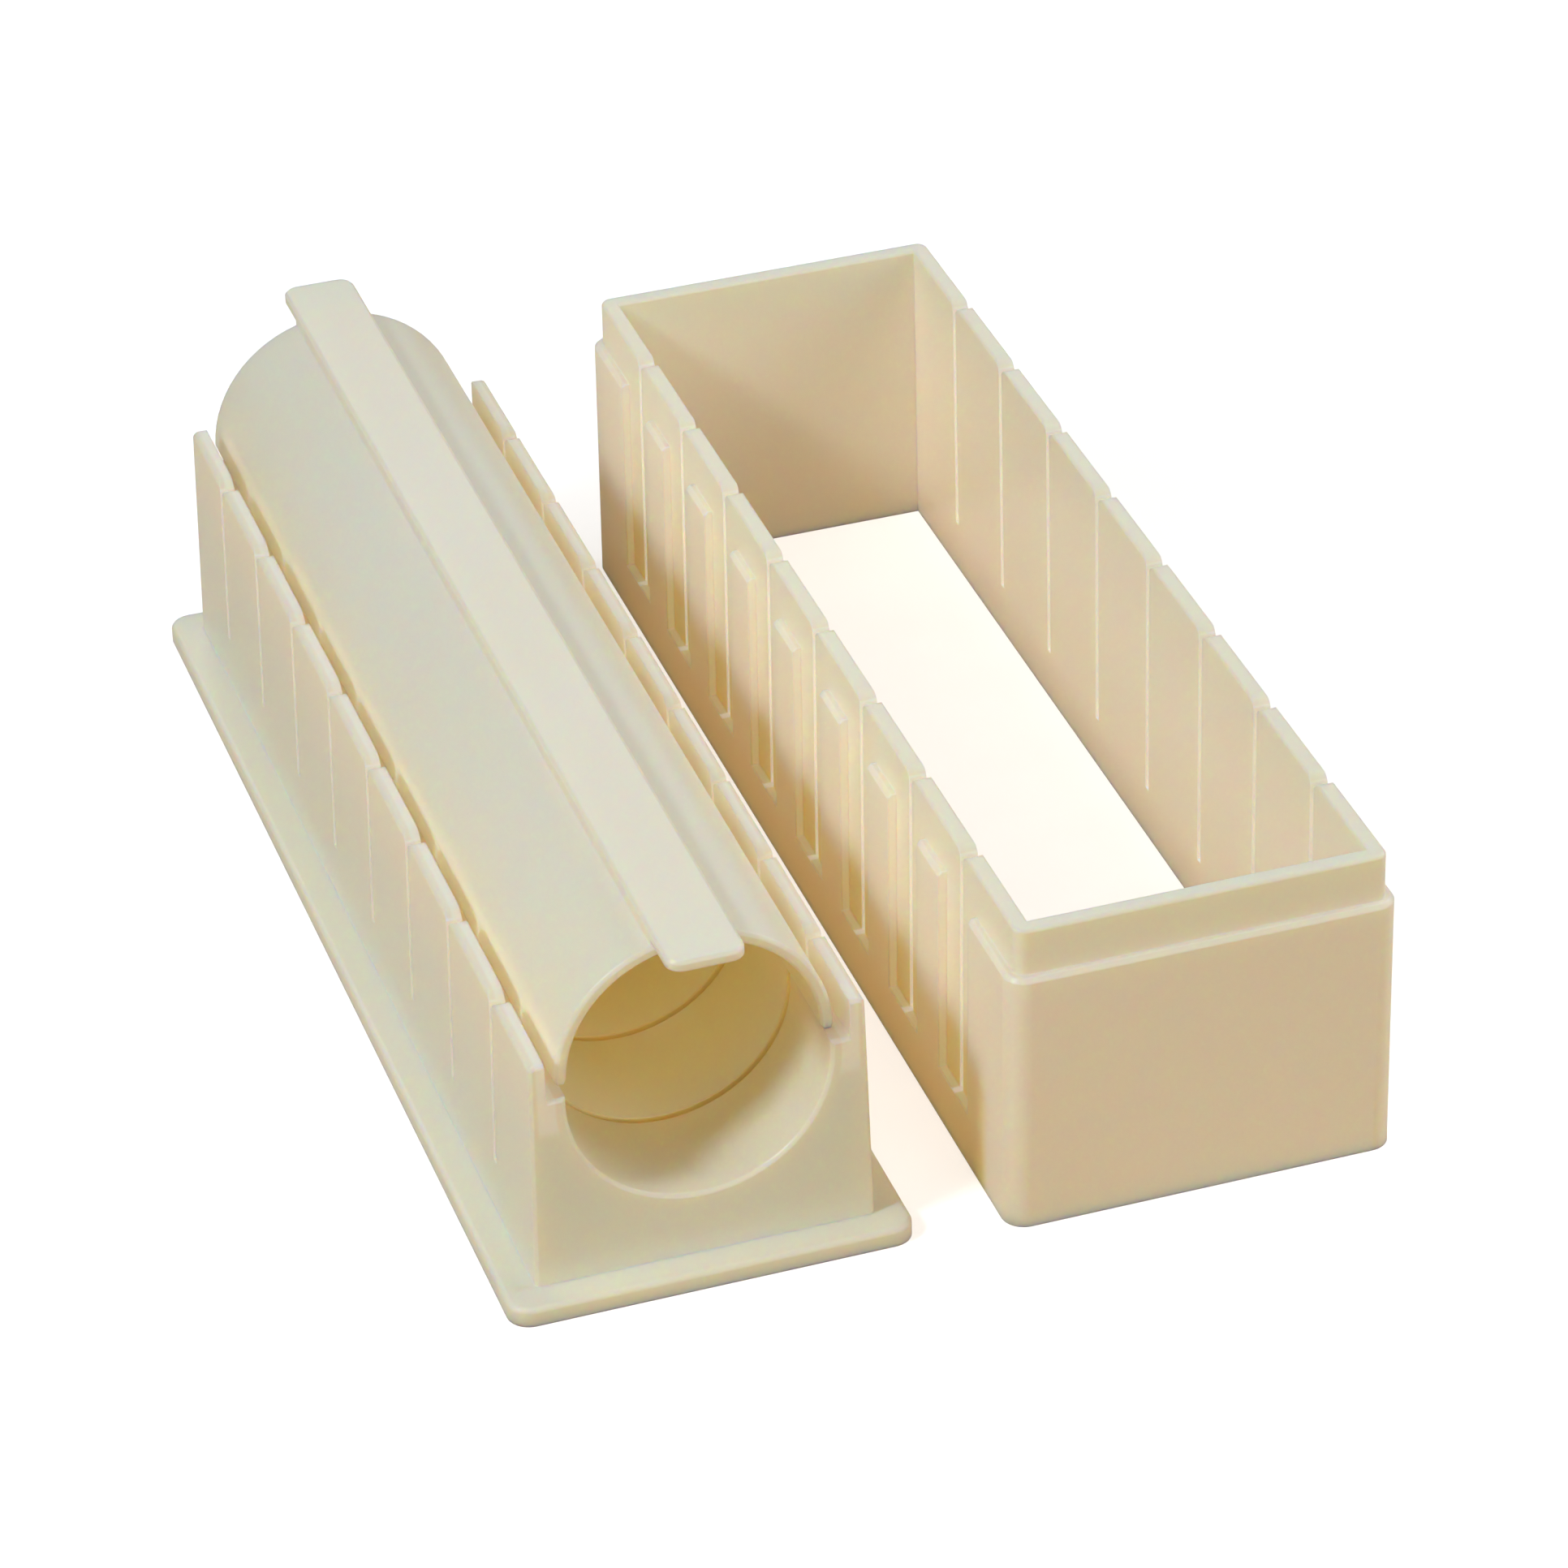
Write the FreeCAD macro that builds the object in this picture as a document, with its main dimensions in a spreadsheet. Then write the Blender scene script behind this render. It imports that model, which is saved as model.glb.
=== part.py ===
import FreeCAD, Part
import math
import os
from types import SimpleNamespace

import Sketcher
from FreeCAD import Placement, Rotation, Vector

# Sushi roll mould set: a base tray with an open trough, a half-round press cover that stands on
# the tray's ledges, and a slicing frame that drops over the tray. Millimetres and degrees.
# X runs across the roll, Y along it, Z up from the table.

SIZES = {
    # base tray
    "box_length": (200.0, "length of the tray's box at the table"),
    "trough_radius": (20.5, "radius of the roll trough"),
    "trough_floor": (13.8, "lowest line of the trough above the table"),
    "trough_neck": (1.5, "straight part of the trough above its round"),
    "ledge_width": (3.0, "ledge beside the trough that carries the cover"),
    "wall_rise": (6.5, "side wall above the ledge"),
    "wall_thick": (2.45, "side wall at its top"),
    "tray_draft": (1.1, "mould draft of the tray's outer faces"),
    "skin_thick": (2.2, "skin under the trough"),
    "end_wall": (2.6, "end wall of the hollow underside, at the table"),
    "core_depth": (6.0, "from the ledge down to the top of the underside pockets"),
    "foot_margin": (5.05, "foot flange beyond the box"),
    "foot_thick": (3.1, "thickness of the foot flange"),
    "foot_corner": (3.6, "corner radius of the foot flange"),
    # knife slots, shared by the tray and the frame
    "slot_count": (8, "knife slots along the roll"),
    "slot_pitch": (22.75, "from one knife slot to the next"),
    "slot_width": (1.2, "knife slot"),
    "slot_bite": (1.5, "cut of a knife slot below the trough floor"),
    "lead_in_depth": (1.5, "depth of the rounded mouth of a slot"),
    "lead_in_radius": (3.0, "radius of the rounded mouth of a slot"),
    # press cover
    "cover_inset": (0.75, "cover's inner face inside the trough's edge"),
    "cover_thick": (1.95, "wall of the cover"),
    "cover_trim": (0.3, "cover shorter than the box"),
    "bar_width": (12.1, "bar along the crown"),
    "bar_thick": (1.7, "bar above the crown"),
    "tab_reach": (8.6, "finger tab beyond the end of the cover"),
    "tab_corner": (2.5, "corner radius of a finger tab"),
    # slicing frame
    "frame_height": (53.0, "height of the frame"),
    "frame_clearance": (0.6, "gap between the box and the frame's well, at the table"),
    "rim_wall": (2.65, "wall of the frame at its rim"),
    "ledge_step": (1.45, "panels stand out from the rim by this"),
    "rim_height": (7.95, "rim above the panels"),
    "frame_draft": (0.35, "mould draft of the frame's outside"),
    "well_draft": (0.5, "mould draft of the frame's well"),
    "frame_corner": (3.6, "outer corner radius of the frame"),
    "channel_width": (13.2, "recess round each slot of the frame"),
    # edges
    "edge_round": (0.5, "moulded edges"),
    "crown_round": (1.1, "top edges of the tray's walls"),
    "rim_round": (0.65, "top edges of the frame and of its panels"),
    "foot_round": (0.9, "top edge of the foot flange"),
    # where the loose pieces lie
    "cover_back": (4.1, "cover laid this far back from the middle"),
    "cover_shift": (0.5, "cover laid this far to the right of the middle"),
    "stand_gap": (13.7, "table between the tray's foot and the frame"),
    "stand_forward": (2.7, "frame stands this far forward of the tray"),
}
PAST = 1.0  # a cutting profile reaches this far past the face that it opens


class Term:
    """A size known both as a number and as the formula that ties it to the sheet."""

    def __init__(self, value, formula):
        self.value = value
        self.formula = formula

    def __add__(self, other):
        other = term(other)
        return Term(self.value + other.value, f"({self.formula} + {other.formula})")

    def __sub__(self, other):
        other = term(other)
        return Term(self.value - other.value, f"({self.formula} - {other.formula})")

    def __mul__(self, other):
        other = term(other)
        return Term(self.value * other.value, f"({self.formula} * {other.formula})")

    def __truediv__(self, other):
        other = term(other)
        return Term(self.value / other.value, f"({self.formula} / {other.formula})")

    def __neg__(self):
        return term(0) - self


def term(size):
    return size if isinstance(size, Term) else Term(float(size), repr(float(size)))


def root(size):
    return Term(math.sqrt(size.value), f"sqrt({size.formula})")


def slope(angle):
    """Sideways lean per unit of height of a face with this draft."""
    return Term(math.tan(math.radians(angle.value)), f"tan({angle.formula} * 1 deg)")


def larger(one, other):
    return Term(max(one.value, other.value), f"max({one.formula}; {other.formula})")


# ---------------------------------------------------------------- document and driving sizes

doc = FreeCAD.newDocument("RollMouldSet")
sheet = doc.addObject("Spreadsheet::Sheet", "Sizes")
for row, (name, (value, note)) in enumerate(SIZES.items(), start=1):
    sheet.set(f"A{row}", name)
    sheet.set(f"B{row}", str(value))
    sheet.set(f"C{row}", note)
    sheet.setAlias(f"B{row}", name)
doc.recompute()

S = SimpleNamespace(**{name: Term(float(value), f"Sizes.{name}") for name, (value, _) in SIZES.items()})

# levels and widths that more than one piece uses
trough_centre = S.trough_floor + S.trough_radius
ledge_top = trough_centre + S.trough_neck
wall_top = ledge_top + S.wall_rise
slot_floor = S.trough_floor - S.slot_bite
channel_half = S.trough_radius + S.ledge_width
box_lean = wall_top * slope(S.tray_draft)
box_width = (channel_half + S.wall_thick + box_lean) * 2
foot_width = box_width + S.foot_margin * 2
foot_length = S.box_length + S.foot_margin * 2

cover_inner = S.trough_radius - S.cover_inset
crown = cover_inner + S.cover_thick
cover_length = S.box_length - S.cover_trim
bar_length = cover_length + S.tab_reach * 2

well_width = box_width + S.frame_clearance * 2
well_length = S.box_length + S.frame_clearance * 2
rim_width = well_width + S.rim_wall * 2
rim_length = well_length + S.rim_wall * 2
frame_width = rim_width + S.ledge_step * 2
frame_length = rim_length + S.ledge_step * 2
panel_top = S.frame_height - S.rim_height
frame_slot_floor = slot_floor - S.foot_thick  # level with the tray's slots once the frame is on its foot
first_slot = -(S.slot_pitch * (S.slot_count - 1) / 2)


# ---------------------------------------------------------------- sketch and feature helpers

def new_body(name):
    body = doc.addObject("PartDesign::Body", name)
    body.Label = name
    return body


def new_sketch(body, name, plane, lift=None):
    """A sketch on one of the body's own origin planes, lifted off it where asked."""
    sketch = body.newObject("Sketcher::SketchObject", name)
    support = next(o for o in body.Origin.OriginFeatures if o.Role == plane)
    sketch.AttachmentSupport = (support, [""])
    sketch.MapMode = "FlatFace"
    if lift is not None:
        sketch.AttachmentOffset = Placement(Vector(0, 0, lift.value), Rotation())
        sketch.setExpression("AttachmentOffset.Base.z", lift.formula)
    return sketch


def bind(sketch, constraint, size):
    index = sketch.addConstraint(constraint)
    sketch.setExpression(f"Constraints[{index}]", size.formula)


def pin(sketch, geometry, vertex, x=None, y=None):
    """Tie a vertex to the sheet, measured from the sketch's origin."""
    for kind, size in (("DistanceX", x), ("DistanceY", y)):
        if size is not None:
            size = term(size)
            bind(sketch, Sketcher.Constraint(kind, -1, 1, geometry, vertex, size.value), size)


def outline(sketch, steps):
    """Draw a closed outline. Each step is ("to", x, y) for a straight run to that corner, or
    ("arc", x, y, centre x, centre y, radius, turn) for an arc there, turn +1 anticlockwise."""
    corners = [Vector(term(step[1]).value, term(step[2]).value, 0) for step in steps]
    ends = []
    for step, a, b in zip(steps, [corners[-1]] + corners[:-1], corners):
        if step[0] == "to":
            ends.append((sketch.addGeometry(Part.LineSegment(a, b), False), 1, 2))
            continue
        centre_x, centre_y, radius, turn = term(step[3]), term(step[4]), term(step[5]), step[6]
        middle = Vector(centre_x.value, centre_y.value, 0)
        circle = Part.Circle(middle, Vector(0, 0, 1), radius.value)
        low, high = (a, b) if turn > 0 else (b, a)
        angles = [math.atan2(p.y - middle.y, p.x - middle.x) for p in (low, high)]
        arc = sketch.addGeometry(Part.ArcOfCircle(circle, *angles), False)
        pin(sketch, arc, 3, centre_x, centre_y)
        bind(sketch, Sketcher.Constraint("Radius", arc, radius.value), radius)
        ends.append((arc, 1, 2) if turn > 0 else (arc, 2, 1))
    for i, (geometry, _, last) in enumerate(ends):
        after = (i + 1) % len(ends)
        following, first, _ = ends[after]
        sketch.addConstraint(Sketcher.Constraint("Coincident", geometry, last, following, first))
        x, y = steps[i][1:3]
        arc = next((steps[j] for j in (i, after) if steps[j][0] == "arc"), None)
        if arc:  # the arc itself settles the other coordinate
            across = abs(corners[i].x - term(arc[3]).value) > abs(corners[i].y - term(arc[4]).value)
            x, y = (None, y) if across else (x, None)
        pin(sketch, geometry, last, x, y)


def rounded_rectangle(sketch, width, length, corner):
    """A centred rectangle with round corners."""
    x, y = width / 2, length / 2
    left, front = x - corner, y - corner
    outline_steps = []
    for sx, sy, lead in ((1, -1, "x"), (1, 1, "y"), (-1, 1, "x"), (-1, -1, "y")):
        centre = (left * sx, front * sy)
        side = (x * sx, front * sy)
        end = (left * sx, y * sy)
        first, last = (end, side) if lead == "x" else (side, end)
        outline_steps += [("to", *first), ("arc", *last, *centre, corner, 1)]
    outline(sketch, outline_steps)


def rectangle(sketch, x, low, high):
    """A rectangle from -x to +x between two levels."""
    outline(sketch, [("to", x, low), ("to", x, high), ("to", -x, high), ("to", -x, low)])


def extrude(body, kind, name, sketch, length, symmetric=False, upward=False, draft=None):
    """A Pad or Pocket of the sketch, bound to the sheet."""
    feature = body.newObject(f"PartDesign::{kind}", name)
    feature.Profile = sketch
    feature.Length = length.value
    feature.setExpression("Length", length.formula)
    if symmetric:
        feature.SideType = "Symmetric"
    feature.Reversed = upward
    if draft is not None:
        feature.TaperAngle = -draft.value
        feature.setExpression("TaperAngle", (-draft).formula)
    sketch.Visibility = False
    settle(feature)
    return feature


def settle(feature):
    doc.recompute()
    if feature.Shape.isNull() or not feature.Shape.isValid() or "Invalid" in feature.State:
        raise RuntimeError(f"{feature.Name} did not build: {feature.State}")


def cut(body, name, sketch, length, **options):
    """A Pocket that has to take material away."""
    before = body.Shape.Volume
    feature = extrude(body, "Pocket", name, sketch, length, **options)
    if feature.Shape.Volume > before - 1.0:
        raise RuntimeError(f"{name} cut nothing")
    return feature


def dress(body, kind, name, radius, wanted):
    """Round or bevel the edges of the body that the test picks out."""
    base = body.Tip
    picked = [f"Edge{i}" for i, edge in enumerate(base.Shape.Edges, start=1) if wanted(edge)]
    if not picked:
        raise RuntimeError(f"{name} found no edge")
    feature = body.newObject(f"PartDesign::{kind}", name)
    feature.Base = (base, picked)
    key = "Radius" if kind == "Fillet" else "Size"
    setattr(feature, key, radius.value)
    feature.setExpression(key, radius.formula)
    settle(feature)
    return feature


def lean(body, name, draft, wanted, overhang=False):
    """Lean the upright faces that the test picks out, from the level of the table up: back over
    the material, or with overhang out over the space beside it."""
    base = body.Tip
    picked = [f"Face{i}" for i, face in enumerate(base.Shape.Faces, start=1) if wanted(face)]
    if not picked:
        raise RuntimeError(f"{name} found no face")
    feature = body.newObject("PartDesign::Draft", name)
    feature.Base = (base, picked)
    table = next(o for o in body.Origin.OriginFeatures if o.Role == "XY_Plane")
    feature.NeutralPlane = (table, [""])
    feature.Angle = draft.value
    feature.setExpression("Angle", draft.formula)
    feature.Reversed = overhang
    settle(feature)
    return feature


def repeat_along_roll(body, name, features, sketch):
    """Copies of one slot's features at the slot pitch."""
    pattern = body.newObject("PartDesign::LinearPattern", name)
    pattern.Originals = features
    pattern.Direction = (sketch, ["H_Axis"])
    span = S.slot_pitch * (S.slot_count - 1)
    pattern.Length = span.value
    pattern.setExpression("Length", span.formula)
    pattern.Occurrences = int(S.slot_count.value)
    pattern.setExpression("Occurrences", S.slot_count.formula)
    body.Tip = pattern
    settle(pattern)
    return pattern


def reaches(face, low, high):
    box = face.BoundBox
    return abs(box.ZMin - low.value) < 0.01 and abs(box.ZMax - high.value) < 0.01


def at_level(edge, level):
    box = edge.BoundBox
    return abs(box.ZMin - level.value) < 0.01 and abs(box.ZMax - level.value) < 0.01


def knife_slot(body, name, floor, top, depth):
    """One slot through both long walls, with a rounded mouth, repeated along the roll."""
    half = S.slot_width / 2
    run = root(S.lead_in_radius * S.lead_in_depth * 2 - S.lead_in_depth * S.lead_in_depth)
    shoulder = top - S.lead_in_depth
    right, left = first_slot + half, first_slot - half
    sketch = new_sketch(body, f"{name}Profile", "YZ_Plane")
    outline(sketch, [
        ("to", right, floor),
        ("to", right, shoulder),
        ("arc", right + run, top, right + run, top - S.lead_in_radius, S.lead_in_radius, -1),
        ("to", right + run, top + PAST),
        ("to", left - run, top + PAST),
        ("to", left - run, top),
        ("arc", left, shoulder, left - run, top - S.lead_in_radius, S.lead_in_radius, -1),
        ("to", left, floor),
    ])
    slot = cut(body, name, sketch, depth, symmetric=True)
    repeat_along_roll(body, f"{name}Row", [slot], sketch)


# ---------------------------------------------------------------- base tray

def base_tray():
    body = new_body("base_tray")

    sketch = new_sketch(body, "FootOutline", "XY_Plane")
    rounded_rectangle(sketch, foot_width, foot_length, S.foot_corner)
    extrude(body, "Pad", "Foot", sketch, S.foot_thick)
    dress(body, "Fillet", "FootEdge", S.foot_round, lambda e: at_level(e, S.foot_thick))

    # the box leans in on all four sides, as it leaves the mould
    sketch = new_sketch(body, "BoxOutline", "XY_Plane")
    rectangle(sketch, box_width / 2, -S.box_length / 2, S.box_length / 2)
    extrude(body, "Pad", "Box", sketch, wall_top)
    lean(body, "BoxDraft", S.tray_draft, lambda f: reaches(f, S.foot_thick, wall_top))
    dress(body, "Fillet", "WallCrown", S.crown_round,
          lambda e: at_level(e, wall_top) and e.BoundBox.YLength > box_width.value)

    # room for the cover between the side walls, the two ledges and the round trough
    sketch = new_sketch(body, "TroughProfile", "XZ_Plane")
    outline(sketch, [
        ("to", -channel_half, wall_top + PAST),
        ("to", -channel_half, ledge_top),
        ("to", -S.trough_radius, ledge_top),
        ("to", -S.trough_radius, trough_centre),
        ("arc", S.trough_radius, trough_centre, 0, trough_centre, S.trough_radius, 1),
        ("to", S.trough_radius, ledge_top),
        ("to", channel_half, ledge_top),
        ("to", channel_half, wall_top + PAST),
    ])
    cut(body, "Trough", sketch, foot_length, symmetric=True)
    inner_face = channel_half.value + 0.01
    dress(body, "Chamfer", "EndEdges", S.edge_round,
          lambda e: e.BoundBox.ZMax > S.foot_thick.value + 0.01 and e.BoundBox.YLength < box_lean.value
          and not (e.BoundBox.XLength < 0.02 and inner_face - 0.02 < abs(e.BoundBox.XMax) < inner_face))

    # hollow underside: a skin under the trough, pockets behind the side walls, closed ends
    skin = S.trough_radius + S.skin_thick
    pocket_top = ledge_top - S.core_depth
    pocket_foot = box_width / 2 - S.wall_thick
    pocket_head = pocket_foot - pocket_top * slope(S.tray_draft)
    drop = trough_centre - pocket_top
    meet = root(skin * skin - drop * drop)
    sketch = new_sketch(body, "HollowProfile", "XZ_Plane")
    outline(sketch, [
        ("to", pocket_foot, -PAST),
        ("to", pocket_foot, 0),
        ("to", pocket_head, pocket_top),
        ("to", meet, pocket_top),
        ("arc", -meet, pocket_top, 0, trough_centre, skin, -1),
        ("to", -pocket_head, pocket_top),
        ("to", -pocket_foot, 0),
        ("to", -pocket_foot, -PAST),
    ])
    cut(body, "Hollow", sketch, S.box_length - S.end_wall * 2, symmetric=True)

    knife_slot(body, "TraySlot", slot_floor, wall_top, foot_width)
    return body


# ---------------------------------------------------------------- press cover

def press_cover():
    """Half-round shell with its feet at the sketch's zero level, and the bar on its crown."""
    body = new_body("press_cover")

    sketch = new_sketch(body, "ShellProfile", "XZ_Plane")
    outline(sketch, [
        ("to", crown, 0),
        ("arc", -crown, 0, 0, 0, crown, 1),
        ("to", -cover_inner, 0),
        ("arc", cover_inner, 0, 0, 0, cover_inner, -1),
    ])
    extrude(body, "Pad", "Shell", sketch, cover_length, symmetric=True)
    dress(body, "Chamfer", "ShellEdges", S.edge_round, lambda e: e.Length > crown.value)

    # the bar's foot reaches into the shell, and its flat top carries the finger tabs
    sketch = new_sketch(body, "SaddleProfile", "XZ_Plane")
    rectangle(sketch, S.bar_width / 2, crown - S.cover_thick / 2, crown + S.bar_thick)
    extrude(body, "Pad", "Saddle", sketch, cover_length - S.edge_round * 2, symmetric=True)
    sketch = new_sketch(body, "BarOutline", "XY_Plane", lift=crown)
    rounded_rectangle(sketch, S.bar_width, bar_length, S.tab_corner)
    extrude(body, "Pad", "Bar", sketch, S.bar_thick)
    dress(body, "Chamfer", "BarEdge", S.edge_round, lambda e: at_level(e, crown + S.bar_thick))
    return body


# ---------------------------------------------------------------- slicing frame

def slicing_frame():
    body = new_body("slicing_frame")

    # panel layer with its bevelled top, cut into panels by the channels round the slots
    sketch = new_sketch(body, "PanelOutline", "XY_Plane")
    rounded_rectangle(sketch, frame_width, frame_length, S.frame_corner)
    extrude(body, "Pad", "PanelLayer", sketch, panel_top, draft=S.frame_draft)
    dress(body, "Chamfer", "PanelBevel", S.rim_round, lambda e: at_level(e, panel_top))
    sketch = new_sketch(body, "ChannelProfile", "YZ_Plane")
    right, left = first_slot + S.channel_width / 2, first_slot - S.channel_width / 2
    outline(sketch, [
        ("to", right, frame_slot_floor),
        ("to", right, panel_top + PAST),
        ("to", left, panel_top + PAST),
        ("to", left, frame_slot_floor),
    ])
    channel = cut(body, "Channel", sketch, frame_width, symmetric=True)
    repeat_along_roll(body, "ChannelRow", [channel], sketch)

    # the rim's ring stands behind the panels at full height
    sketch = new_sketch(body, "RimOutline", "XY_Plane")
    rounded_rectangle(sketch, rim_width, rim_length, S.frame_corner - S.ledge_step)
    extrude(body, "Pad", "Rim", sketch, S.frame_height, draft=S.frame_draft)

    # open well, wider at the table so that it slides down over the box
    sketch = new_sketch(body, "WellOutline", "XY_Plane")
    rectangle(sketch, well_width / 2, -well_length / 2, well_length / 2)
    cut(body, "Well", sketch, S.frame_height, upward=True)
    lean(body, "WellDraft", S.well_draft, lambda f: reaches(f, term(0), S.frame_height), overhang=True)
    dress(body, "Fillet", "RimEdge", S.rim_round, lambda e: at_level(e, S.frame_height))

    knife_slot(body, "FrameSlot", frame_slot_floor, S.frame_height, frame_width)
    return body


# ---------------------------------------------------------------- the set as it stands

def place(body, x, y, z):
    for axis, size in (("x", x), ("y", y), ("z", z)):
        size = term(size)
        setattr(body.Placement.Base, axis, size.value)
        body.setExpression(f"Placement.Base.{axis}", size.formula)


tray, cover, frame = base_tray(), press_cover(), slicing_frame()

# origin: on the table, in the middle of the set's outer box
frame_x = (foot_width + frame_width) / 2 + S.stand_gap
frame_y = -S.stand_forward
set_left = -(foot_width / 2)
set_right = frame_x + frame_width / 2
set_back = larger(S.cover_back + bar_length / 2, larger(foot_length / 2, frame_y + frame_length / 2))
set_front = -larger(bar_length / 2 - S.cover_back, larger(foot_length / 2, frame_length / 2 - frame_y))
middle_x, middle_y = (set_left + set_right) / 2, (set_front + set_back) / 2
place(tray, -middle_x, -middle_y, 0)
place(cover, S.cover_shift - middle_x, S.cover_back - middle_y, ledge_top)
place(frame, frame_x - middle_x, frame_y - middle_y, 0)
doc.recompute()

for item in doc.Objects:
    if "Invalid" in item.State or "Error" in item.State:
        raise RuntimeError(f"{item.Name}: {item.State}")
os.makedirs("parts", exist_ok=True)
for body in (tray, cover, frame):
    shape = body.Shape
    if shape.isNull() or not shape.isValid() or len(shape.Solids) != 1:
        raise RuntimeError(f"{body.Label} is not one sound solid")
    shape.exportStep(f"parts/{body.Label}.step")
    print(f"{body.Label}: {len(shape.Faces)} faces, {shape.Volume / 1000:.1f} cm3")
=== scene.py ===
import math

import bpy
from mathutils import Matrix, Vector


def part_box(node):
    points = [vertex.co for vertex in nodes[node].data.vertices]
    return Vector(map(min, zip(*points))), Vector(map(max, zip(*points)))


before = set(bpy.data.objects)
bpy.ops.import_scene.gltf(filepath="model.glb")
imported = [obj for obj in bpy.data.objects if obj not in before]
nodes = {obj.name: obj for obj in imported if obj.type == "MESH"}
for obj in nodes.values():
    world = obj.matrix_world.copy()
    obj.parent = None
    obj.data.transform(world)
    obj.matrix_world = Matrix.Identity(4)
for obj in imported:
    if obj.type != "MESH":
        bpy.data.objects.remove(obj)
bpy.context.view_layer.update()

MM = 0.001

# moulded sizes that the painted light and shade follow
ROUND_AXIS = 34.3 * MM  # height of the trough's axis; the cover's own lies 1.5 mm higher
SLOT_COUNT = 8
SLOT_PITCH = 22.75 * MM
SLOT_HALF_WIDTH = 0.6 * MM
TRAY_SLOT_FLOOR = 12.3 * MM
FRAME_SLOT_FLOOR = 9.2 * MM
CHANNEL_REACH = 6.8 * MM  # from a slot of the frame to 0.2 mm past its channel's side face
FRAME_DRAFT = math.radians(0.35)

# a radius and the blur beyond it
ON_THE_ROUND = (20.6 * MM, 1.2 * MM)
TO_THE_SLOTS_FOOT = (21.9 * MM, 0.5 * MM)
SLOT_BLUR = 0.36 * MM
CHANNEL_BLUR = 0.2 * MM

# where each painted light and shade begins and where it is full
FROM_THE_ENDS = (99 * MM, 68 * MM)  # out from the middle of the tray, along it
BETWEEN_THE_WALLS = (25.2 * MM, 24.6 * MM)  # out from the middle of the tray, across it
FROM_UNDER_THE_LEDGES = (29 * MM, 31 * MM)  # height; the ledges lie at 35.8 mm
BELOW_THE_SHADOW = (22 * MM, 16 * MM)  # height on the frame's wall beside the tray
NEAR_THE_TABLE = (14 * MM, 2 * MM)
NEAR_THE_TRAY = (4 * MM, 2 * MM)  # in from the frame's outer face
BEHIND_THE_FRONT = (9 * MM, 13 * MM)
BELOW_THE_PANELS = (0.10 * MM, 0.35 * MM)  # depth in the frame's channels
ABOVE_THE_CHANNEL_FLOOR = (1.45 * MM, 1.25 * MM)

# the plastic's own colours, IVORY and WARM, and the colours of the painted light and shade on it
IVORY = (0.997, 0.92, 0.79)
WARM = (0.996, 0.91, 0.76)
# painted highlight on the edges, and painted light in and beside the slots
PAINTED_PALE_LIGHT = (0.999, 0.965, 0.90)
# painted light in the hollows, for the light that comes through their walls
PAINTED_HOLLOW_LIGHT = (0.996, 0.91, 0.68)
# painted shadow of the tray on the frame's foot
PAINTED_FOOT_SHADOW = (0.944, 0.82, 0.29)
# painted shade in the slots where they cross the trough
PAINTED_SLOT_SHADE = (0.92, 0.79, 0.44)

# painted glow: a faint light painted as coming out of it, though it is no lamp
NO_GLOW = (0.0, 0.0, 0.0)
PAINTED_HOLLOW_GLOW = (0.021, 0.018, 0.004)
PAINTED_SLOT_GLOW = (0.088, 0.090, 0.066)
FAINT = 0.6  # of the slots' painted light and glow, on the faces beside them

# how far red, green and blue light travel in it, as shares of the reach
LIGHT_PATH = (1.0, 0.52, 0.13)
REACH = 4 * MM

PLASTIC_IOR = 1.49
PLASTIC_ROUGHNESS = 0.30
RIPPLE_STRENGTH = 0.15
RIPPLE_DISTANCE = 0.5 * MM

# edges: a small rounding in the mesh, and a softer one in the normals
EDGE_WIDTH = 0.22 * MM
EDGE_SEGMENTS = 3
EDGE_ANGLE = math.radians(32)
EDGE_SOFTNESS = 0.45 * MM
WELD_DISTANCE = 0.002 * MM


# ---------------------------------------------------------------- node helpers

def feed(tree, socket, value):
    """Link another socket to this one, or set it to a number or to a colour of three parts."""
    if isinstance(value, bpy.types.NodeSocket):
        tree.links.new(value, socket)
    else:
        socket.default_value = (*value, 1) if isinstance(value, tuple) else value


def new_group(name, inputs, outputs):
    """An empty shader group, the sockets that it is given, and the sockets that it puts out.

    inputs are (name, kind, default) rows and outputs are (name, kind) rows.
    """
    group = bpy.data.node_groups.new(name, "ShaderNodeTree")
    for label, kind, default in inputs:
        socket = group.interface.new_socket(
            name=label, in_out="INPUT", socket_type=f"NodeSocket{kind}")
        if default is not None:
            socket.default_value = (*default, 1) if isinstance(default, tuple) else default
    for label, kind in outputs:
        group.interface.new_socket(name=label, in_out="OUTPUT", socket_type=f"NodeSocket{kind}")
    given = group.nodes.new("NodeGroupInput").outputs
    put_out = group.nodes.new("NodeGroupOutput").inputs
    return group, given, put_out


def place_group(tree, group, **values):
    """The outputs of a group placed in tree, with its inputs fed from values.

    An underscore in a value's name stands for a space in the input's name.
    """
    node = tree.nodes.new("ShaderNodeGroup")
    node.node_tree = group
    for name, value in values.items():
        feed(tree, node.inputs[name.replace("_", " ")], value)
    return node.outputs


def add(tree, kind, **settings):
    """A new shader node of that kind, with those settings."""
    node = tree.nodes.new(f"ShaderNode{kind}")
    for key, value in settings.items():
        setattr(node, key, value)
    return node


def mix_colours(tree, factor, first, second):
    """first where factor is 0, second where it is 1."""
    node = add(tree, "Mix", data_type="RGBA")
    for socket, value in zip((node.inputs[0], node.inputs[6], node.inputs[7]),
                             (factor, first, second)):
        feed(tree, socket, value)
    return node.outputs[2]


def reckon(tree, kind, *values, clamp=False):
    """The output of a Math node; each value is a socket or a number."""
    node = add(tree, "Math", operation=kind, use_clamp=clamp)
    for socket, value in zip(node.inputs, values):
        feed(tree, socket, value)
    return node.outputs[0]


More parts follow.
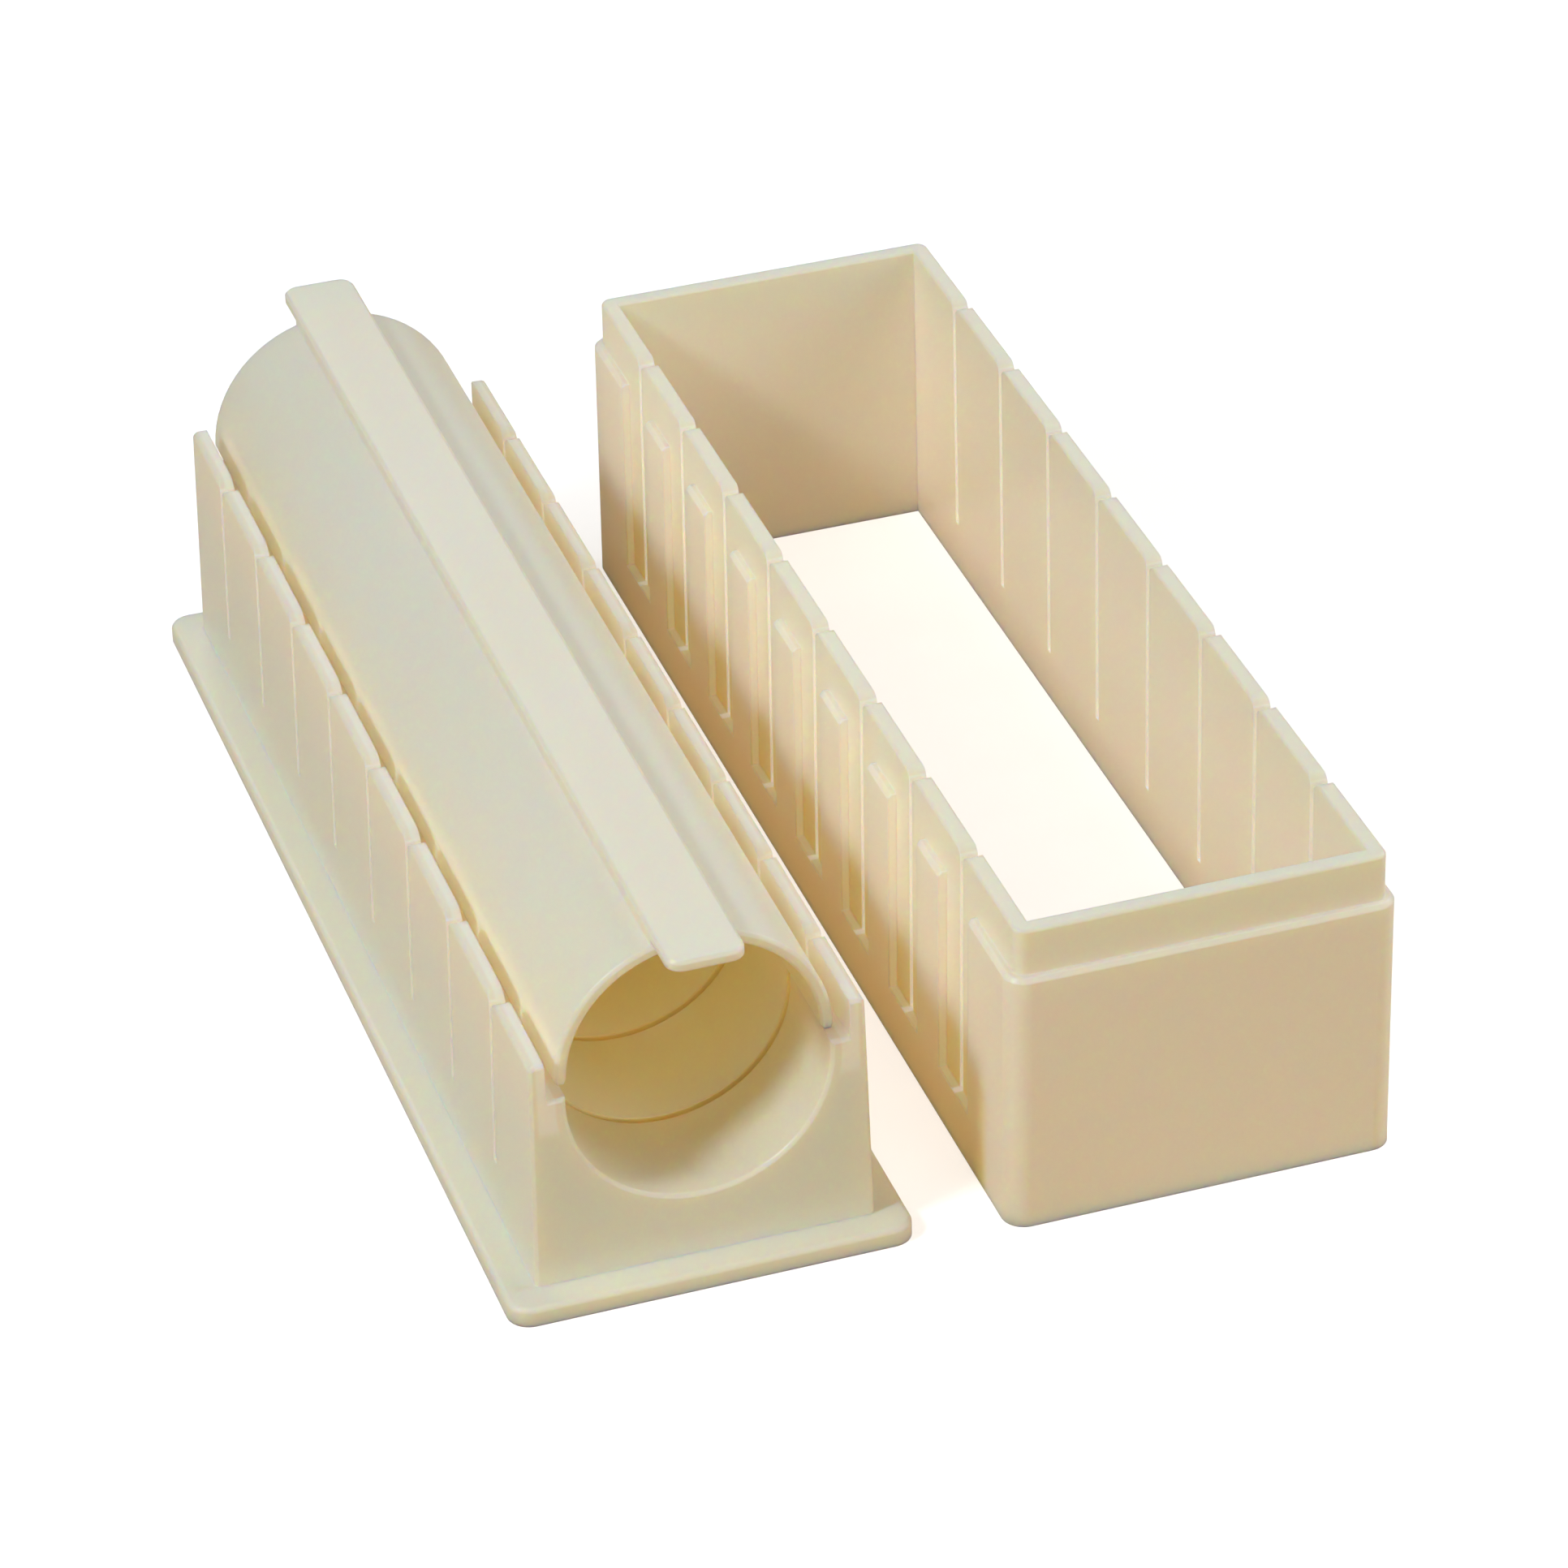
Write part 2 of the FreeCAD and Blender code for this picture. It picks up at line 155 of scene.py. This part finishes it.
def times(tree, *factors):
    """The product of two or more factors."""
    product = factors[0]
    for factor in factors[1:]:
        product = reckon(tree, "MULTIPLY", product, factor)
    return product


def away_from(tree, value, middle):
    """How far value lies from middle, on either side."""
    return reckon(tree, "ABSOLUTE", reckon(tree, "SUBTRACT", value, middle))


def ramp(tree, value, low, high):
    """0 below low, 1 above high, with a soft start and end; low may be the larger of the two."""
    node = add(tree, "MapRange", interpolation_type="SMOOTHSTEP")
    for socket, given in (("Value", value), ("From Min", low), ("From Max", high)):
        feed(tree, node.inputs[socket], given)
    return node.outputs["Result"]


def noise(tree, place, scale, detail):
    """A cloudy value round a half."""
    node = add(tree, "TexNoise")
    for socket, given in (("Vector", place), ("Scale", scale), ("Detail", detail)):
        feed(tree, node.inputs[socket], given)
    return node.outputs["Fac"]


def split(tree, place):
    """The x, y and z of a position."""
    node = add(tree, "SeparateXYZ")
    feed(tree, node.inputs[0], place)
    return node.outputs


# ---------------------------------------------------------------- shader groups

def moulded_plastic_group():
    """Clouded ivory plastic: a slow drift between two ivories, and a polished mould's ripple."""
    group, given, put_out = new_group(
        "moulded plastic",
        [("Position", "Vector", None), ("Ivory", "Color", IVORY), ("Warm ivory", "Color", WARM),
         ("Drift scale", "Float", 18.0), ("Ripple scale", "Float", 90.0),
         ("Ripple depth", "Float", 0.02),
         ("Roughness", "Float", PLASTIC_ROUGHNESS), ("Roughness drift", "Float", 0.06)],
        [("Color", "Color"), ("Roughness", "Float"), ("Height", "Float")])
    drift = ramp(group, noise(group, given["Position"], given["Drift scale"], 2.0), 0.2, 0.8)
    ripple = noise(group, given["Position"], given["Ripple scale"], 3.0)
    colour = mix_colours(group, drift, given["Ivory"], given["Warm ivory"])
    shine = reckon(group, "MULTIPLY_ADD", drift, given["Roughness drift"], given["Roughness"])
    feed(group, put_out["Color"], colour)
    feed(group, put_out["Roughness"], shine)
    feed(group, put_out["Height"], times(group, ripple, given["Ripple depth"]))
    return group


def in_round_group():
    """1 on and inside a round along Y, and 0 from a blur beyond its radius."""
    group, given, put_out = new_group(
        "in round",
        [("Position", "Vector", None), ("Axis X", "Float", 0.0), ("Axis Z", "Float", ROUND_AXIS),
         ("Radius", "Float", 0.02), ("Blur", "Float", 0.001)],
        [("Mask", "Float")])
    parts = split(group, given["Position"])
    squares = [
        reckon(group, "POWER", reckon(group, "SUBTRACT", parts[side], given[f"Axis {side}"]), 2.0)
        for side in ("X", "Z")]
    distance = reckon(group, "SQRT", reckon(group, "ADD", *squares))
    beyond = reckon(group, "ADD", given["Radius"], given["Blur"])
    feed(group, put_out["Mask"], ramp(group, distance, beyond, given["Radius"]))
    return group


def in_slots_group():
    """1 inside a row of slots across Y, above their floor.

    The distance from Y to the nearest of First + k * Pitch, k = 0 .. Count - 1, is at most
    Half width; the mask fades to 0 over Blur beyond it.
    """
    group, given, put_out = new_group(
        "in slots",
        [("Position", "Vector", None), ("First", "Float", 0.0), ("Pitch", "Float", SLOT_PITCH),
         ("Count", "Float", SLOT_COUNT), ("Half width", "Float", SLOT_HALF_WIDTH),
         ("Blur", "Float", SLOT_BLUR), ("Floor", "Float", 0.0)],
        [("Mask", "Float")])
    parts = split(group, given["Position"])
    from_first = reckon(group, "SUBTRACT", parts["Y"], given["First"])
    steps = reckon(group, "DIVIDE", from_first, given["Pitch"])
    last = reckon(group, "SUBTRACT", given["Count"], 1.0)
    whole = reckon(group, "MAXIMUM", reckon(group, "ROUND", steps), 0.0)
    nearest = reckon(group, "MINIMUM", whole, last)
    away = times(group, away_from(group, steps, nearest), given["Pitch"])
    beyond = reckon(group, "ADD", given["Half width"], given["Blur"])
    across = ramp(group, away, beyond, given["Half width"])
    above = reckon(group, "GREATER_THAN", parts["Z"], given["Floor"])
    feed(group, put_out["Mask"], times(group, across, above))
    return group


def rounded_edge_group():
    """Normals that turn smoothly over every edge, and a mask for a painted highlight: 1 on the
    edge, 0 on the flats.
    """
    group, given, put_out = new_group(
        "rounded edge", [("Gain", "Float", 4.0)], [("Normal", "Vector"), ("Edge", "Float")])
    soft = add(group, "Bevel", samples=6)
    soft.inputs["Radius"].default_value = EDGE_SOFTNESS
    match = add(group, "VectorMath", operation="DOT_PRODUCT")
    feed(group, match.inputs[0], soft.outputs[0])
    feed(group, match.inputs[1], add(group, "NewGeometry").outputs["Normal"])
    turned = reckon(group, "SUBTRACT", 1.0, match.outputs["Value"])
    feed(group, put_out["Normal"], soft.outputs[0])
    feed(group, put_out["Edge"], reckon(group, "MULTIPLY", turned, given["Gain"], clamp=True))
    return group


MOULDED_PLASTIC = moulded_plastic_group()
IN_ROUND = in_round_group()
IN_SLOTS = in_slots_group()
ROUNDED_EDGE = rounded_edge_group()


# ---------------------------------------------------------------- where each painted light and shade lies

def middle_of(node):
    low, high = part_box(node)
    return (low + high) / 2


def shifted(pair, by):
    return tuple(value + by for value in pair)


def in_tray_round(tree, place, radius, blur):
    """The mask of a round on the trough's axis; on the cover it fades towards the crown."""
    return place_group(tree, IN_ROUND, Position=place, Axis_X=middle_of("base_tray").x,
                       Axis_Z=ROUND_AXIS, Radius=radius, Blur=blur)["Mask"]


def slots_along(tree, place, node, floor, half_width=SLOT_HALF_WIDTH, blur=SLOT_BLUR):
    """The mask of the knife slots, or of wider bands round them, centred along the node."""
    first = middle_of(node).y - (SLOT_COUNT - 1) / 2 * SLOT_PITCH
    return place_group(tree, IN_SLOTS, Position=place, First=first, Floor=floor,
                       Half_width=half_width, Blur=blur)["Mask"]


def hollow(tree, place):
    """Painted light in the round hollow of the tray and of the cover, as of light through its
    walls, fading towards its two open ends.
    """
    from_middle = away_from(tree, split(tree, place)["Y"], middle_of("base_tray").y)
    inside = ramp(tree, from_middle, *FROM_THE_ENDS)
    return times(tree, in_tray_round(tree, place, *ON_THE_ROUND), inside)


def shaded_foot(tree, place):
    """Painted shadow: the tray's shadow on the foot of the frame's wall beside it, amber as if it
    got its light only through the tray.

    Six tenths of it come in below the tray's shadow line, and the rest as painted shade near the
    table.
    """
    parts = split(tree, place)
    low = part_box("slicing_frame")[0]
    band = ramp(tree, parts["Z"], *shifted(BELOW_THE_SHADOW, low.z))
    lowest = ramp(tree, parts["Z"], *shifted(NEAR_THE_TABLE, low.z))
    down = reckon(tree, "MULTIPLY_ADD", lowest, 0.4, times(tree, band, 0.6))
    beside = ramp(tree, parts["X"], *shifted(NEAR_THE_TRAY, low.x))
    behind = ramp(tree, parts["Y"], *shifted(BEHIND_THE_FRONT, low.y))
    return times(tree, down, beside, behind)


def tray_slots(tree, place):
    """Painted light: the tray's slots pale outside its trough, and fainter the faces beside the
    cover's edges.

    Painted shade: the slots brown where they cross the trough.
    """
    slots = slots_along(tree, place, "base_tray", TRAY_SLOT_FLOOR)
    in_trough = in_tray_round(tree, place, *TO_THE_SLOTS_FOOT)
    outside = reckon(tree, "SUBTRACT", 1.0, in_trough)
    parts = split(tree, place)
    from_middle = away_from(tree, parts["X"], middle_of("base_tray").x)
    between_walls = ramp(tree, from_middle, *BETWEEN_THE_WALLS)
    at_ledges = ramp(tree, parts["Z"], *FROM_UNDER_THE_LEDGES)
    # painted light on the faces beside the cover's edges, where shade falls between the cover and
    # the walls
    beside_cover = times(tree, between_walls, at_ledges, FAINT, outside)
    pale = reckon(tree, "MAXIMUM", times(tree, slots, outside), beside_cover)
    return pale, times(tree, slots, in_trough)


def frame_slots(tree, place):
    """Painted light: the frame's slots pale, and fainter the side faces of the channels round them.

    The depth below the panels' face counts the lean that the draft gives it.
    """
    slots = slots_along(tree, place, "slicing_frame", FRAME_SLOT_FLOOR)
    channels = slots_along(tree, place, "slicing_frame", FRAME_SLOT_FLOOR,
                           half_width=CHANNEL_REACH, blur=CHANNEL_BLUR)
    low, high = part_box("slicing_frame")
    parts = split(tree, place)
    from_middle = away_from(tree, parts["X"], (low.x + high.x) / 2)
    lean = times(tree, parts["Z"], math.tan(FRAME_DRAFT))
    inwards = reckon(tree, "ADD", from_middle, lean)
    depth = reckon(tree, "SUBTRACT", (high.x - low.x) / 2, inwards)
    below_panels = ramp(tree, depth, *BELOW_THE_PANELS)
    above_floor = ramp(tree, depth, *ABOVE_THE_CHANNEL_FLOOR)
    # painted light on the channels' side faces, which would otherwise sit in shade
    sides = times(tree, channels, below_panels, above_floor, FAINT)
    return reckon(tree, "MAXIMUM", slots, sides), None


# ---------------------------------------------------------------- the plastic

def plastic(name, tint, painted_glow, tinted, slots=None):
    """Translucent ivory plastic, with painted highlights on its edges, painted light in its slots,
    and a painted tint where it would be lit only from behind.

    tinted makes the mask of the painted tint from the tree and the position: painted light in a
    hollow, painted shadow on the frame's foot. slots makes a mask of painted light and one of
    painted shade; slots, and its shade mask, may be None. The glows are painted: they stand for the
    light that comes out of the walls of the hollow and of the slots, though the plastic is no lamp.
    """
    material = bpy.data.materials.new(name)
    material.use_nodes = True
    tree = material.node_tree
    shader = tree.nodes["Principled BSDF"].inputs
    place = add(tree, "TexCoord").outputs["Object"]
    cloud = place_group(tree, MOULDED_PLASTIC, Position=place, Ivory=IVORY, Warm_ivory=WARM)
    edge = place_group(tree, ROUNDED_EDGE)
    mask = tinted(tree, place)
    # painted light in a hollow, or painted shadow on the frame's foot, according to the piece
    colour = mix_colours(tree, mask, cloud["Color"], tint)
    # painted highlight on every edge
    colour = mix_colours(tree, edge["Edge"], colour, PAINTED_PALE_LIGHT)
    # painted glow of the light that comes through the hollow's walls
    glow = mix_colours(tree, mask, NO_GLOW, painted_glow)
    if slots:
        pale, brown = slots(tree, place)
        # painted light and a painted glow in and beside the slots
        colour = mix_colours(tree, pale, colour, PAINTED_PALE_LIGHT)
        glow = mix_colours(tree, pale, glow, PAINTED_SLOT_GLOW)
        if brown:
            # painted shade in the slots across the trough
            colour = mix_colours(tree, brown, colour, PAINTED_SLOT_SHADE)
    ripple = add(tree, "Bump")
    ripple.inputs["Strength"].default_value = RIPPLE_STRENGTH
    ripple.inputs["Distance"].default_value = RIPPLE_DISTANCE
    feed(tree, ripple.inputs["Height"], cloud["Height"])
    feed(tree, ripple.inputs["Normal"], edge["Normal"])
    feed(tree, shader["Normal"], ripple.outputs["Normal"])
    feed(tree, shader["Base Color"], colour)
    feed(tree, shader["Emission Color"], glow)
    feed(tree, shader["Roughness"], cloud["Roughness"])
    shader["Emission Strength"].default_value = 1.0
    shader["IOR"].default_value = PLASTIC_IOR
    shader["Subsurface Weight"].default_value = 1.0
    shader["Subsurface Radius"].default_value = LIGHT_PATH
    shader["Subsurface Scale"].default_value = REACH
    return material


def finish(node, material):
    """Give a moulding its plastic, and a small rounding on its edges."""
    node.material_slots[0].material = material
    weld = node.modifiers.new("weld", "WELD")
    weld.merge_threshold = WELD_DISTANCE
    edge = node.modifiers.new("edges", "BEVEL")
    edge.width = EDGE_WIDTH
    edge.segments = EDGE_SEGMENTS
    edge.limit_method = "ANGLE"
    edge.angle_limit = EDGE_ANGLE
    edge.harden_normals = True


# painted light and a painted glow in the hollows of the tray and cover; a painted shadow on the
# frame's foot
finish(nodes["base_tray"], plastic("tray plastic", PAINTED_HOLLOW_LIGHT, PAINTED_HOLLOW_GLOW, hollow, tray_slots))
finish(nodes["press_cover"], plastic("cover plastic", PAINTED_HOLLOW_LIGHT, PAINTED_HOLLOW_GLOW, hollow))
finish(nodes["slicing_frame"],
       plastic("frame plastic", PAINTED_FOOT_SHADOW, NO_GLOW, shaded_foot, frame_slots))


# ---------------------------------------------------------------- studio

FLOOR_HALF = 3.0
FLOOR_LEVEL = -0.05 * MM  # just under the pieces' feet
FLOOR_SEEN = (0.82, 0.81, 0.79)
FLOOR_BOUNCE = (0.72, 0.53, 0.30)
FLOOR_WHITE = 0.65
FLOOR_FAR = (0.3, 1.2)  # out from the middle: where the added white starts to grow, and is full
WORLD_LIGHT = (1.0, 0.97, 0.92)
WORLD_STRENGTH = 0.02
WHITE = (1.0, 1.0, 1.0)

# name, place, width and height, watts, colour; all aim at the middle of the set's foot
LAMPS = (
    ("key", (-0.84, -0.30, 0.84), (0.18, 0.18), 5.0, (0.95, 0.97, 1.0)),
    ("left", (-0.9, -0.1, 0.8), (0.8, 0.8), 2.3, WHITE),
    ("right", (1.0, 0.0, 0.8), (0.8, 0.8), 6.6, WHITE),
    ("back", (0.1, 1.1, 0.8), (1.0, 0.8), 1.5, WHITE),
    ("front", (-0.3, -1.1, 0.8), (0.8, 0.8), 1.6, (1.0, 0.86, 0.72)),
    ("low front", (0.5, -1.1, 0.25), (0.6, 0.4), 2.6, (1.0, 0.90, 0.80)),
)


def seen_directly(tree, path):
    """1 on rays from the camera, off a gloss or through glass, and 0 on all others."""
    either = reckon(tree, "MAXIMUM", path["Is Camera Ray"], path["Is Glossy Ray"])
    return reckon(tree, "MAXIMUM", either, path["Is Transmission Ray"])


def table_material():
    """A table that is white to the eye, keeps its shadow, and throws a warm light on the set.

    FLOOR_SEEN is its colour where it is looked at, FLOOR_BOUNCE the colour of the light that it
    throws back, and FLOOR_WHITE the white added where it is looked at. Far out, where little
    light falls, that grows to 1. Off a gloss or through glass half of it is added.
    """
    material = bpy.data.materials.new("pale table")
    material.use_nodes = True
    tree = material.node_tree
    tree.nodes.clear()
    path = add(tree, "LightPath").outputs
    pale = add(tree, "BsdfDiffuse")
    colour = mix_colours(tree, path["Is Camera Ray"], FLOOR_BOUNCE, FLOOR_SEEN)
    feed(tree, pale.inputs["Color"], colour)
    from_middle = add(tree, "VectorMath", operation="LENGTH")
    feed(tree, from_middle.inputs[0], add(tree, "TexCoord").outputs["Object"])
    far = ramp(tree, from_middle.outputs["Value"], *FLOOR_FAR)
    white = reckon(tree, "MULTIPLY_ADD", far, 1.0 - FLOOR_WHITE, FLOOR_WHITE)
    halved = reckon(tree, "MULTIPLY_ADD", path["Is Camera Ray"], 0.5, 0.5)
    glow = add(tree, "Emission")
    feed(tree, glow.inputs["Strength"], times(tree, white, seen_directly(tree, path), halved))
    both = add(tree, "AddShader")
    feed(tree, both.inputs[0], pale.outputs[0])
    feed(tree, both.inputs[1], glow.outputs[0])
    feed(tree, add(tree, "OutputMaterial").inputs["Surface"], both.outputs[0])
    return material


def floor():
    """A flat square of table."""
    half, level = FLOOR_HALF, FLOOR_LEVEL
    corners = [(-half, -half, level), (half, -half, level), (half, half, level),
               (-half, half, level)]
    mesh = bpy.data.meshes.new("floor")
    mesh.from_pydata(corners, [], [(0, 1, 2, 3)])
    mesh.materials.append(table_material())
    sheet = bpy.data.objects.new("floor", mesh)
    bpy.context.scene.collection.objects.link(sheet)


def surroundings():
    """A faint warm light from all sides, and white where the world is looked at."""
    world = bpy.data.worlds.new("studio")
    bpy.context.scene.world = world
    world.use_nodes = True
    tree = world.node_tree
    tree.nodes.clear()
    lit, seen = add(tree, "Background"), add(tree, "Background")
    for sky, colour, strength in ((lit, WORLD_LIGHT, WORLD_STRENGTH), (seen, WHITE, 1.0)):
        feed(tree, sky.inputs["Color"], colour)
        feed(tree, sky.inputs["Strength"], strength)
    mix = add(tree, "MixShader")
    feed(tree, mix.inputs[0], seen_directly(tree, add(tree, "LightPath").outputs))
    feed(tree, mix.inputs[1], lit.outputs[0])
    feed(tree, mix.inputs[2], seen.outputs[0])
    feed(tree, add(tree, "OutputWorld").inputs["Surface"], mix.outputs[0])


def softbox(name, place, size, watts, colour):
    """A rectangular lamp that aims at the origin."""
    light = bpy.data.lights.new(name, "AREA")
    light.shape = "RECTANGLE"
    light.size, light.size_y = size
    light.energy = watts
    light.color = colour
    lamp = bpy.data.objects.new(name, light)
    lamp.location = place
    lamp.rotation_euler = (-Vector(place)).to_track_quat("-Z", "Y").to_euler()
    bpy.context.scene.collection.objects.link(lamp)


# ---------------------------------------------------------------- camera

AIM_RIGHT = 43.772 * MM  # the point aimed at, from the middle of the tray
AIM_FORWARD = 7.648 * MM
AIM_HEIGHT = 20 * MM
EYE_DISTANCE = 1029.555 * MM
EYE_SIDE, EYE_RISE, EYE_ROLL = (math.radians(angle) for angle in (-17.912, 33.082, -1.400))
PICTURE_WIDTH = 1932  # pixels
FOCAL_PIXELS = 7856.046
SENSOR_WIDTH = 36.0  # millimetres


def camera():
    """Looks at the set from the front left and above, turned a little about its own axis."""
    middle = middle_of("base_tray")
    target = Vector((middle.x + AIM_RIGHT, middle.y - AIM_FORWARD, AIM_HEIGHT))
    back = Vector((math.sin(EYE_SIDE) * math.cos(EYE_RISE),
                   -math.cos(EYE_SIDE) * math.cos(EYE_RISE), math.sin(EYE_RISE)))
    level = (-back).cross(Vector((0, 0, 1))).normalized()
    up = level.cross(-back)
    right = math.cos(EYE_ROLL) * level + math.sin(EYE_ROLL) * up
    above = -math.sin(EYE_ROLL) * level + math.cos(EYE_ROLL) * up
    data = bpy.data.cameras.new("camera")
    data.sensor_width = SENSOR_WIDTH
    data.lens = FOCAL_PIXELS / PICTURE_WIDTH * SENSOR_WIDTH
    data.clip_end = 20.0
    eye = bpy.data.objects.new("camera", data)
    turn = Matrix((right, above, back)).transposed().to_4x4()
    eye.matrix_world = Matrix.Translation(target + back * EYE_DISTANCE) @ turn
    bpy.context.scene.collection.objects.link(eye)
    bpy.context.scene.camera = eye


floor()
surroundings()
for lamp in LAMPS:
    softbox(*lamp)
camera()
bpy.context.scene.view_settings.view_transform = "Standard"
bpy.context.scene.cycles.diffuse_bounces = 16
bpy.context.scene.cycles.max_bounces = 24
